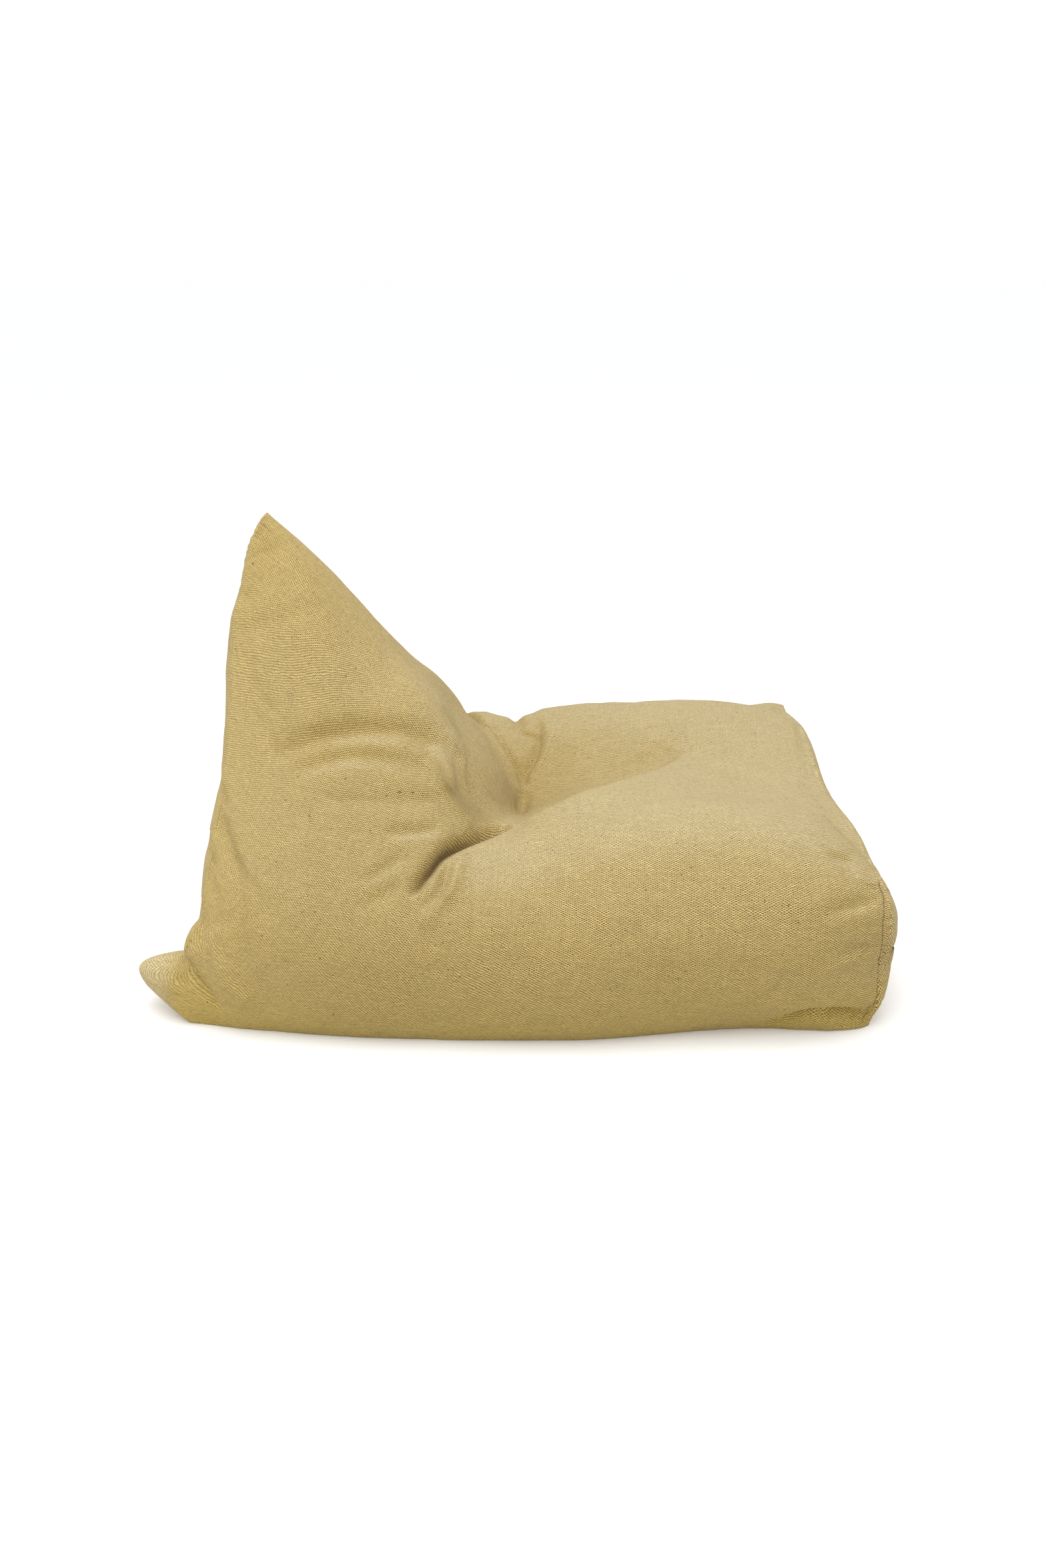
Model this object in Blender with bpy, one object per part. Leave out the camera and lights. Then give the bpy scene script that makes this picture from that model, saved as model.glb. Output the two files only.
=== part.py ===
"""Lounge pouf: one filled cotton sack with a low broad seat and a pointed back.

The sack stands on its flat underside. The seat looks to +X, the point of the
back is at -X, and the side in the photograph is the one at -Y. Metres.
"""

import bmesh
import bpy
import numpy as np
from mathutils import Vector, kdtree

FACES_KEPT = 11000
# Skin lower than this is pressed flat on the floor
FLOOR_REACH = 0.0004

# Front end: how far the cloth swells past the corner seams
FRONT_SWELL = 0.031
FRONT_SWELL_AT_SEAM = 0.029
FRONT_SEAM_Z = 0.112

# Back end: the middle of the back panel and its swell
BACK_CENTRE = (-0.470, 0.0, 0.215)
BACK_SWELL = 0.024

# Steps of the loft: along a section gap, in the two ends, and round a ring
STEPS_ALONG = 14
STEPS_CAP = 26
STEPS_ROUND = (14, 14, 24, 26, 18)
FOLD_STEPS = 33

# One row for each section of the sack, from the front corners to the back.
# A section starts on the floor and goes up by the side, the mid-height of the
# side, the ridge beside the middle, and the crown on the middle line.
# lean moves the ridge and crown to the far side. tilt lifts the near ridge and
# lowers the far one and the far mid-height.
SECTION_COLUMNS = (
    "floor_x", "floor_y", "side_x", "side_y", "side_z", "mid_x", "mid_y", "mid_z",
    "ridge_x", "ridge_y", "ridge_z", "crown_x", "crown_z", "lean", "tilt",
)
SECTIONS = (
    (0.530, 0.400, 0.530, 0.397, 0.095, 0.530, 0.376, 0.200,
     0.530, 0.310, 0.233, 0.530, 0.234, 0.00, -0.006),
    (0.450, 0.416, 0.450, 0.430, 0.110, 0.450, 0.400, 0.208,
     0.450, 0.290, 0.246, 0.450, 0.240, 0.00, 0.000),
    (0.290, 0.410, 0.290, 0.446, 0.115, 0.290, 0.410, 0.212,
     0.290, 0.240, 0.251, 0.290, 0.218, 0.06, 0.008),
    (0.130, 0.430, 0.130, 0.455, 0.120, 0.130, 0.414, 0.214,
     0.130, 0.215, 0.240, 0.130, 0.180, 0.075, 0.020),
    (0.020, 0.434, 0.020, 0.458, 0.120, 0.010, 0.402, 0.212,
     0.020, 0.195, 0.214, 0.015, 0.152, 0.05, 0.022),
    (-0.060, 0.434, -0.070, 0.455, 0.120, -0.090, 0.380, 0.222,
     -0.035, 0.170, 0.206, -0.015, 0.160, 0.02, 0.020),
    (-0.120, 0.432, -0.130, 0.450, 0.120, -0.130, 0.355, 0.238,
     -0.080, 0.155, 0.255, -0.045, 0.205, 0.00, 0.018),
    (-0.180, 0.430, -0.190, 0.448, 0.120, -0.170, 0.322, 0.265,
     -0.100, 0.130, 0.312, -0.080, 0.268, 0.00, 0.018),
    (-0.250, 0.426, -0.255, 0.444, 0.120, -0.225, 0.285, 0.305,
     -0.145, 0.088, 0.398, -0.130, 0.366, 0.00, 0.018),
    (-0.310, 0.420, -0.315, 0.438, 0.115, -0.280, 0.255, 0.340,
     -0.210, 0.060, 0.464, -0.205, 0.472, 0.00, 0.010),
    (-0.370, 0.412, -0.375, 0.428, 0.112, -0.335, 0.228, 0.375,
     -0.298, 0.046, 0.562, -0.294, 0.580, 0.005, 0.004),
    (-0.435, 0.404, -0.435, 0.412, 0.108, -0.394, 0.205, 0.400,
     -0.364, 0.036, 0.630, -0.360, 0.648, 0.010, 0.000),
    (-0.500, 0.392, -0.487, 0.385, 0.092, -0.452, 0.188, 0.402,
     -0.422, 0.032, 0.655, -0.403, 0.690, 0.010, 0.000),
)

# Corners of the cloth drawn out into ears: the tip and the reach of the pull
EARS = (
    {"tip": (-0.588, -0.340, 0.045), "reach": 0.085},
    {"tip": (-0.588, 0.340, 0.045), "reach": 0.085},
)

# Folds of the cloth: how deep (below zero: a raised edge), half the width, the
# share of the depth that comes up again as lips beside the line, and the line
FOLDS = (
    {"name": "near crease, under the lip of the back", "depth": 0.034, "width": 0.017, "lip": 0.45,
     "line": ((-0.180, -0.400, 0.200), (-0.144, -0.361, 0.235), (-0.096, -0.294, 0.250),
              (-0.031, -0.205, 0.236), (0.000, -0.150, 0.220))},
    {"name": "short fold below the near crease", "depth": 0.008, "width": 0.016, "lip": 0.5,
     "line": ((-0.110, -0.350, 0.236), (-0.128, -0.384, 0.218), (-0.142, -0.410, 0.190))},
    {"name": "edge from the back's front to the crease", "depth": -0.012, "width": 0.022, "lip": 0.3,
     "line": ((-0.156, -0.068, 0.431), (-0.110, -0.118, 0.357), (-0.094, -0.161, 0.296),
              (-0.070, -0.192, 0.255), (-0.030, -0.190, 0.233))},
    {"name": "hollow inside that edge", "depth": 0.010, "width": 0.022, "lip": 0.2,
     "line": ((-0.120, -0.060, 0.400), (-0.075, -0.105, 0.320), (-0.045, -0.150, 0.250))},
    {"name": "upper arch on the back's side", "depth": 0.013, "width": 0.022, "lip": 0.6,
     "line": ((-0.375, -0.230, 0.370), (-0.311, -0.191, 0.410), (-0.235, -0.163, 0.419),
              (-0.166, -0.163, 0.399), (-0.105, -0.140, 0.340))},
    {"name": "lower arch on the back's side", "depth": 0.006, "width": 0.022, "lip": 0.5,
     "line": ((-0.330, -0.265, 0.340), (-0.288, -0.226, 0.369), (-0.243, -0.214, 0.375),
              (-0.180, -0.215, 0.360))},
    {"name": "far crease, left arm", "depth": 0.013, "width": 0.016, "lip": 0.5,
     "line": ((-0.080, 0.290, 0.225), (-0.037, 0.215, 0.192), (-0.010, 0.148, 0.166), (0.004, 0.050, 0.150))},
    {"name": "far crease, right arm", "depth": 0.020, "width": 0.017, "lip": 0.6,
     "line": ((0.010, 0.400, 0.200), (0.040, 0.320, 0.205), (0.036, 0.234, 0.190),
              (0.017, 0.160, 0.169), (0.005, 0.060, 0.151))},
    {"name": "dip of the far rim", "depth": 0.010, "width": 0.022, "lip": 0.4,
     "line": ((-0.010, 0.360, 0.200), (-0.022, 0.300, 0.200), (-0.040, 0.245, 0.197))},
    {"name": "crest on the near side of the hollow", "depth": -0.010, "width": 0.035, "lip": 0.4,
     "line": ((0.020, -0.170, 0.235), (0.080, -0.140, 0.245), (0.150, -0.090, 0.240),
              (0.220, -0.010, 0.235), (0.290, 0.080, 0.240))},
    {"name": "first fold near the tip", "depth": 0.008, "width": 0.014, "lip": 0.5,
     "line": ((-0.430, -0.100, 0.520), (-0.378, -0.093, 0.551), (-0.310, -0.055, 0.563))},
    {"name": "second fold near the tip", "depth": 0.006, "width": 0.012, "lip": 0.5,
     "line": ((-0.430, -0.040, 0.615), (-0.394, -0.027, 0.638), (-0.350, -0.006, 0.650))},
    {"name": "fold under the roll at the front corner", "depth": 0.016, "width": 0.018, "lip": 0.5,
     "line": ((0.310, -0.425, 0.005), (0.365, -0.425, 0.020), (0.410, -0.430, 0.042),
              (0.470, -0.418, 0.046), (0.525, -0.397, 0.030))},
    {"name": "soft valley above the ear", "depth": 0.008, "width": 0.024, "lip": 0.5,
     "line": ((-0.465, -0.269, 0.290), (-0.445, -0.353, 0.205), (-0.418, -0.415, 0.118),
              (-0.400, -0.425, 0.070))},
    {"name": "root of the near ear", "depth": 0.010, "width": 0.016, "lip": 0.4,
     "line": ((-0.512, -0.340, 0.125), (-0.518, -0.380, 0.090), (-0.515, -0.400, 0.045))},
    {"name": "upper tuck of the back edge", "depth": 0.008, "width": 0.016, "lip": 0.5,
     "line": ((-0.470, -0.180, 0.310), (-0.457, -0.254, 0.313), (-0.426, -0.269, 0.313))},
    {"name": "middle tuck of the back edge", "depth": 0.008, "width": 0.014, "lip": 0.5,
     "line": ((-0.480, -0.230, 0.240), (-0.468, -0.309, 0.240), (-0.434, -0.330, 0.241))},
    {"name": "far side crease", "depth": 0.016, "width": 0.022, "lip": 0.5,
     "line": ((-0.150, 0.420, 0.190), (-0.110, 0.370, 0.225), (-0.070, 0.300, 0.235))},
)


def spline(knots, values, wanted):
    """Natural cubic through values at knots, read at the wanted places."""
    count = len(knots)
    gaps = np.diff(knots)
    system = np.eye(count)
    target = np.zeros_like(values)
    slopes = np.diff(values, axis=0) / gaps[:, None]
    for i in range(1, count - 1):
        system[i, i - 1] = gaps[i - 1]
        system[i, i] = 2.0 * (gaps[i - 1] + gaps[i])
        system[i, i + 1] = gaps[i]
        target[i] = 6.0 * (slopes[i] - slopes[i - 1])
    bend = np.linalg.solve(system, target)
    span = np.clip(np.searchsorted(knots, wanted, side="right") - 1, 0, count - 2)
    gap = gaps[span][:, None]
    left = ((knots[span + 1] - wanted)[:, None]) / gap
    right = 1.0 - left
    curve = (left ** 3 - left) * bend[span] + (right ** 3 - right) * bend[span + 1]
    return left * values[span] + right * values[span + 1] + curve * gap ** 2 / 6.0


def section_points(row):
    """The ten points of one section, round from the floor's middle line."""
    s = dict(zip(SECTION_COLUMNS, row))
    near = (
        (s["floor_x"], -s["floor_y"], 0.0),
        (s["side_x"], -s["side_y"], s["side_z"]),
        (s["mid_x"], -s["mid_y"] + 0.4 * s["lean"], s["mid_z"]),
        (s["ridge_x"], -s["ridge_y"] + s["lean"], s["ridge_z"] + s["tilt"]),
    )
    far = (
        (s["ridge_x"], s["ridge_y"] + s["lean"], s["ridge_z"] - s["tilt"]),
        (s["mid_x"], s["mid_y"] + 0.4 * s["lean"], s["mid_z"] - s["tilt"]),
        (s["side_x"], s["side_y"], s["side_z"]),
        (s["floor_x"], s["floor_y"], 0.0),
    )
    crown = (s["crown_x"], s["lean"], s["crown_z"])
    return np.array(((s["floor_x"], 0.0, 0.0),) + near + (crown,) + far)


def lengthwise(rows):
    """More sections between the table's, smooth along the sack."""
    points = np.array([section_points(row) for row in rows])
    strides = np.linalg.norm(np.diff(points, axis=0), axis=2).mean(axis=1)
    knots = np.concatenate(((0.0,), np.cumsum(strides)))
    places = [
        knots[i] + strides[i] * k / STEPS_ALONG
        for i in range(len(strides))
        for k in range(STEPS_ALONG)
    ]
    places.append(knots[-1])
    flat = points.reshape(len(rows), -1)
    return spline(knots, flat, np.array(places)).reshape(len(places), -1, 3)


def round_ring(points):
    """A smooth closed ring through the ten points of a section."""
    steps = STEPS_ROUND + STEPS_ROUND[::-1]
    count = len(points)
    wrapped = np.concatenate((points[-4:], points, points[:5]))
    strides = np.linalg.norm(np.diff(wrapped, axis=0), axis=1) ** 0.75
    knots = np.concatenate(((0.0,), np.cumsum(strides)))
    places = [
        knots[4 + i] + strides[4 + i] * k / steps[i]
        for i in range(count)
        for k in range(steps[i])
    ]
    return spline(knots, wrapped, np.array(places))


def front_rings(ring):
    """The boxed front end: rings from the corner seams in to the middle seam."""
    rings = []
    side_share = np.clip((np.abs(ring[:, 1]) - 0.30) / 0.08, 0.0, 1.0)
    power = 2.1 - 0.8 * side_share
    goal_y = ring[:, 1] * (1.0 - 0.14 * side_share)
    to_seam = np.clip(np.abs(goal_y) / 0.37, 0, 1) ** 2.5
    swell = FRONT_SWELL - (FRONT_SWELL - FRONT_SWELL_AT_SEAM) * to_seam
    for i in range(1, STEPS_CAP + 1):
        left = np.cos(0.5 * np.pi * i / STEPS_CAP)
        left = max(left, 0.02)
        shape = (1.0 - left ** power) ** (1.0 / power)
        rings.append(np.stack((
            ring[:, 0] + swell * shape,
            goal_y + (ring[:, 1] - goal_y) * left,
            FRONT_SEAM_Z + (ring[:, 2] - FRONT_SEAM_Z) * left,
        ), axis=1))
    return rings


def back_rings(ring):
    """The back panel: rings from its outline in to the middle of the back."""
    rings = []
    centre = np.array(BACK_CENTRE)
    for i in range(1, STEPS_CAP):
        left = np.cos(0.5 * np.pi * i / STEPS_CAP)
        shape = (1.0 - left ** 2.0) ** 0.5
        points = centre + (ring - centre) * left
        points[:, 0] -= BACK_SWELL * shape
        rings.append(points)
    return rings


def sack_mesh(mesh):
    """The whole skin of the sack as one closed mesh."""
    rings = [round_ring(points) for points in lengthwise(SECTIONS)]
    front = front_rings(rings[0])
    back = back_rings(rings[-1])
    rings = front[::-1] + rings + back
    count = len(rings[0])
    grid = [[mesh.verts.new(p) for p in ring] for ring in rings]
    pole = mesh.verts.new((BACK_CENTRE[0] - BACK_SWELL, BACK_CENTRE[1], BACK_CENTRE[2]))
    for a, b in zip(grid, grid[1:]):
        for i in range(count):
            j = (i + 1) % count
            mesh.faces.new((a[i], b[i], b[j], a[j]))
    for i in range(count):
        j = (i + 1) % count
        mesh.faces.new((grid[-1][i], pole, grid[-1][j]))
    half = count // 2
    quarter = sum(STEPS_ROUND[:2])
    over = [grid[0][(quarter + k) % count] for k in range(half + 1)]
    under = [grid[0][(quarter - k) % count] for k in range(half + 1)]
    for k in range(half):
        corners = dict.fromkeys((over[k], over[k + 1], under[k + 1], under[k]))
        mesh.faces.new(tuple(corners))
    bmesh.ops.recalc_face_normals(mesh, faces=mesh.faces)


def pull_ears(mesh):
    """Draws the cloth out to each ear's tip."""
    for ear in EARS:
        tip = Vector(ear["tip"])
        nearest = min(mesh.verts, key=lambda v: (v.co - tip).length)
        start = nearest.co.copy()
        for vert in mesh.verts:
            away = (vert.co - start).length / ear["reach"]
            if away < 1.0:
                vert.co += (tip - start) * (1.0 - away ** 2) ** 2


def press_folds(mesh):
    """Pushes the skin in along each fold's line and lifts its lips."""
    for fold in FOLDS:
        mesh.normal_update()
        places = np.array([v.co for v in mesh.verts])
        normals = np.array([v.normal for v in mesh.verts])
        tree = kdtree.KDTree(len(places))
        for i, place in enumerate(places):
            tree.insert(place, i)
        tree.balance()
        line = np.array(fold["line"])
        knots = np.arange(len(line), dtype=float)
        line = spline(knots, line, np.linspace(0.0, knots[-1], FOLD_STEPS))
        on_skin = [tree.find(place)[1] for place in line]
        path = places[on_skin]
        nearest = np.full(len(places), np.inf)
        along = np.zeros(len(places))
        for k in range(FOLD_STEPS - 1):
            step = path[k + 1] - path[k]
            length = max(step @ step, 1e-12)
            share = np.clip((places - path[k]) @ step / length, 0.0, 1.0)
            away = np.linalg.norm(places - path[k] - share[:, None] * step, axis=1)
            away[normals @ normals[on_skin[k]] < 0.2] = np.inf
            closer = away < nearest
            nearest[closer] = away[closer]
            along[closer] = (k + share[closer]) / (FOLD_STEPS - 1)
        ends = np.sin(np.pi * np.clip(along, 0.0, 1.0)) ** 0.6
        across = np.minimum(nearest / fold["width"], 5.0) ** 2
        push = fold["depth"] * ends * (1.0 - fold["lip"] * across) * np.exp(-across)
        for vert, amount in zip(mesh.verts, push):
            vert.co -= vert.normal * amount


for old in list(bpy.data.objects):
    bpy.data.objects.remove(old)

collection = bpy.data.collections.new("lounge_pouf")
bpy.context.scene.collection.children.link(collection)

skin = bmesh.new()
sack_mesh(skin)
pull_ears(skin)
press_folds(skin)
bmesh.ops.smooth_vert(
    skin, verts=skin.verts, factor=0.5, use_axis_x=True, use_axis_y=True, use_axis_z=True)
reach = np.array([v.co for v in skin.verts])
middle = Vector(0.5 * (reach.min(axis=0) + reach.max(axis=0)))
for vert in skin.verts:
    vert.co.x -= middle.x
    vert.co.y -= middle.y
    vert.co.z = max(vert.co.z, 0.0)
data = bpy.data.meshes.new("sack")
skin.to_mesh(data)
skin.free()
sack = bpy.data.objects.new("sack", data)
collection.objects.link(sack)

cloth = bpy.data.materials.new("mustard_cotton")
cloth.use_nodes = True
shader = cloth.node_tree.nodes["Principled BSDF"]
shader.inputs["Base Color"].default_value = (0.60, 0.48, 0.21, 1.0)
shader.inputs["Roughness"].default_value = 0.92
data.materials.append(cloth)

thin = sack.modifiers.new("fewer_faces", "DECIMATE")
thin.decimate_type = "COLLAPSE"
thin.ratio = FACES_KEPT / sum(len(p.vertices) - 2 for p in data.polygons)
thin.use_collapse_triangulate = True
bpy.context.view_layer.objects.active = sack
bpy.ops.object.modifier_apply(modifier=thin.name)
for vert in data.vertices:
    if vert.co.z < FLOOR_REACH:
        vert.co.z = 0.0
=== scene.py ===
import math

import bmesh
import bpy
import numpy as np
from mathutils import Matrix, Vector, noise
from mathutils.bvhtree import BVHTree


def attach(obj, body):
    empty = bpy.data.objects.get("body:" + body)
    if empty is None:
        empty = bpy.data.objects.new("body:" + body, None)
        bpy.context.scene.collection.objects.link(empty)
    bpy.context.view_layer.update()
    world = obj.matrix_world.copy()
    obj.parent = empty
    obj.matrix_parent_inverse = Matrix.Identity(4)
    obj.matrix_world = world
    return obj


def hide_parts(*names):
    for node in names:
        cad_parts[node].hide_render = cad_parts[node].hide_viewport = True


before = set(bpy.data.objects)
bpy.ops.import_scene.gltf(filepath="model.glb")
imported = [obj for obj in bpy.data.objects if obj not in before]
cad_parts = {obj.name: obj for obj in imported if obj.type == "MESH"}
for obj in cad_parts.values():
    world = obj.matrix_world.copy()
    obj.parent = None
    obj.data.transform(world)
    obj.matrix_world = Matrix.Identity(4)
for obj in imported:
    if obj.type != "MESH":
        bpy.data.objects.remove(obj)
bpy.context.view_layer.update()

# The camera. It looks down on the pouf's near side from about 25 degrees above
# the level, a little under 2 m from the middle, with the photograph's wide view.
PHOTO_WIDTH = 1568
PHOTO_HEIGHT = 2351
CAMERA_PLACE = (0.0129, -1.8029, 1.061)
CAMERA_DOWN = math.radians(25.0)
CAMERA_LENS = 26.03
CAMERA_SENSOR = 36.0

camera_data = bpy.data.cameras.new("camera")
camera_data.lens = CAMERA_LENS
camera_data.sensor_width = CAMERA_SENSOR
camera_data.dof.use_dof = False
camera = bpy.data.objects.new("camera", camera_data)
camera.location = CAMERA_PLACE
camera.rotation_euler = (math.pi / 2.0 - CAMERA_DOWN, 0.0, 0.0)
bpy.context.scene.collection.objects.link(camera)
bpy.context.scene.camera = camera

# The sack. One length of thick hand-woven cotton is wrapped round the seat and
# the back and filled with loose beads. Its front end is boxed and sewn at the
# corners and across, and its back is drawn up to a point over two pillow corners.
SACK_SHIFT = (0.0129, 0.0007, 0.0)
GRID_STEP = 0.0075
FLOOR_STEP = 0.020
WELD = 0.00002

# The front end's panel and the back's: how far they swell and how round they turn in.
END_STEPS = {"front": 24, "back": 44}
FRONT_SEAM_Z = 0.112
FRONT_SWELL = 0.031
FRONT_FLATTER = {"by": 0.002, "half_width": 0.37, "power": 2.5}
FRONT_ROUND = 2.1
CORNER = {"from": 0.30, "run": 0.08, "draw": 0.14, "sharper": 0.8}
CORNER_EASED = {"x": 0.560, "y": 0.335, "reach": 0.045, "passes": 8}
BACK_SWELL = 0.026
BACK_NARROW = {"half_width": 0.15, "power": 0.7}

# The sections, one row each from the front end to the back's tip, in metres. "floor" to
# "ridge" go up each side, and "lean" and "tilt" make the far side unlike the near one.
SECTION_COLUMNS = (
    "floor_x", "floor_y", "side_x", "side_y", "side_z", "mid_x", "mid_y", "mid_z",
    "ridge_x", "ridge_y", "ridge_z", "crown_x", "crown_z", "lean", "tilt",
)
SECTIONS = (
    (0.53, 0.4, 0.53, 0.397, 0.095, 0.53, 0.376, 0.2,
     0.53, 0.31, 0.233, 0.53, 0.234, 0.0, -0.006),
    (0.45, 0.416, 0.45, 0.43, 0.11, 0.45, 0.4, 0.208,
     0.45, 0.29, 0.246, 0.45, 0.24, 0.0, 0.0),
    (0.29, 0.41, 0.29, 0.446, 0.115, 0.29, 0.41, 0.212,
     0.29, 0.24, 0.251, 0.29, 0.218, 0.06, 0.008),
    (0.13, 0.43, 0.13, 0.455, 0.12, 0.13, 0.414, 0.214,
     0.13, 0.215, 0.24, 0.13, 0.18, 0.075, 0.02),
    (0.02, 0.434, 0.02, 0.458, 0.12, 0.01, 0.402, 0.212,
     0.02, 0.195, 0.214, 0.015, 0.152, 0.05, 0.022),
    (-0.06, 0.434, -0.07, 0.455, 0.12, -0.09, 0.38, 0.222,
     -0.035, 0.17, 0.206, -0.015, 0.16, 0.02, 0.02),
    (-0.12, 0.432, -0.13, 0.45, 0.12, -0.13, 0.355, 0.238,
     -0.08, 0.155, 0.255, -0.045, 0.205, 0.0, 0.018),
    (-0.18, 0.43, -0.19, 0.448, 0.12, -0.17, 0.322, 0.265,
     -0.1, 0.13, 0.312, -0.08, 0.268, 0.0, 0.018),
    (-0.25, 0.426, -0.255, 0.444, 0.12, -0.225, 0.285, 0.305,
     -0.145, 0.088, 0.398, -0.13, 0.366, 0.0, 0.018),
    (-0.31, 0.42, -0.315, 0.438, 0.115, -0.28, 0.255, 0.34,
     -0.21, 0.06, 0.464, -0.205, 0.472, 0.0, 0.01),
    (-0.37, 0.412, -0.375, 0.428, 0.112, -0.335, 0.228, 0.375,
     -0.298, 0.046, 0.562, -0.294, 0.58, 0.005, 0.004),
    (-0.435, 0.404, -0.435, 0.412, 0.108, -0.394, 0.205, 0.4,
     -0.364, 0.036, 0.63, -0.36, 0.648, 0.01, 0.0),
    (-0.5, 0.392, -0.487, 0.385, 0.092, -0.452, 0.188, 0.402,
     -0.422, 0.032, 0.655, -0.403, 0.69, 0.01, 0.0),
)

# The two ears, and the places where the cloth bulges or sinks softly.
EARS = (
    {"tip": (-0.588, -0.345, 0.072), "from": (-0.505, -0.350, 0.052),
     "up": 0.050, "down": 0.078},
    {"tip": (-0.588, 0.345, 0.055), "from": (-0.505, 0.350, 0.050),
     "up": 0.055, "down": 0.085},
)
NUDGE_COLUMNS = ("name", "at", "by", "reach")
NUDGES = (
    ("near corner of the back, above the ear",
     (-0.495, -0.37, 0.125), (-0.02, -0.004, 0.0), 0.06),
    ("near edge of the back",
     (-0.47, -0.3, 0.25), (-0.007, 0.0, 0.0), 0.15),
    ("foot of the back's near edge",
     (-0.09, -0.15, 0.3), (-0.012, -0.042, 0.016), 0.09),
    ("foot of the back's front",
     (-0.065, 0.02, 0.24), (0.022, 0.0, 0.006), 0.13),
    ("seat beside the sit",
     (0.23, 0.0, 0.235), (0.0, 0.0, 0.012), 0.14),
    ("dip of the far rim",
     (-0.02, 0.405, 0.195), (0.0, -0.01, -0.026), 0.06),
    ("far top corner of the front",
     (0.512, 0.365, 0.222), (0.0, 0.004, 0.01), 0.06),
    ("front below that corner",
     (0.555, 0.3, 0.215), (-0.013, 0.0, 0.0), 0.09),
    ("middle of the front's top edge",
     (0.55, -0.03, 0.22), (-0.01, 0.0, -0.005), 0.2),
    ("near part of the front's top edge",
     (0.55, -0.26, 0.215), (-0.004, 0.0, -0.002), 0.11),
    ("near corner of the front",
     (0.555, -0.365, 0.165), (0.009, -0.002, 0.0), 0.075),
    ("near shoulder of the seat, front half",
     (0.34, -0.275, 0.25), (0.0, 0.0, 0.026), 0.2),
    ("near shoulder of the seat, back half",
     (0.15, -0.31, 0.25), (0.0, 0.0, 0.012), 0.16),
    ("far rim of the seat",
     (0.24, 0.4, 0.2), (0.0, 0.0, -0.006), 0.17),
    ("back's edge below the tip",
     (-0.455, -0.03, 0.595), (0.008, 0.0, 0.0), 0.07),
    ("bottom of the near front corner",
     (0.548, -0.388, 0.005), (-0.009, 0.006, 0.0), 0.045),
    ("foot under the front roll",
     (0.39, -0.415, 0.0), (0.0, 0.01, 0.0), 0.13),
)

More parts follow.
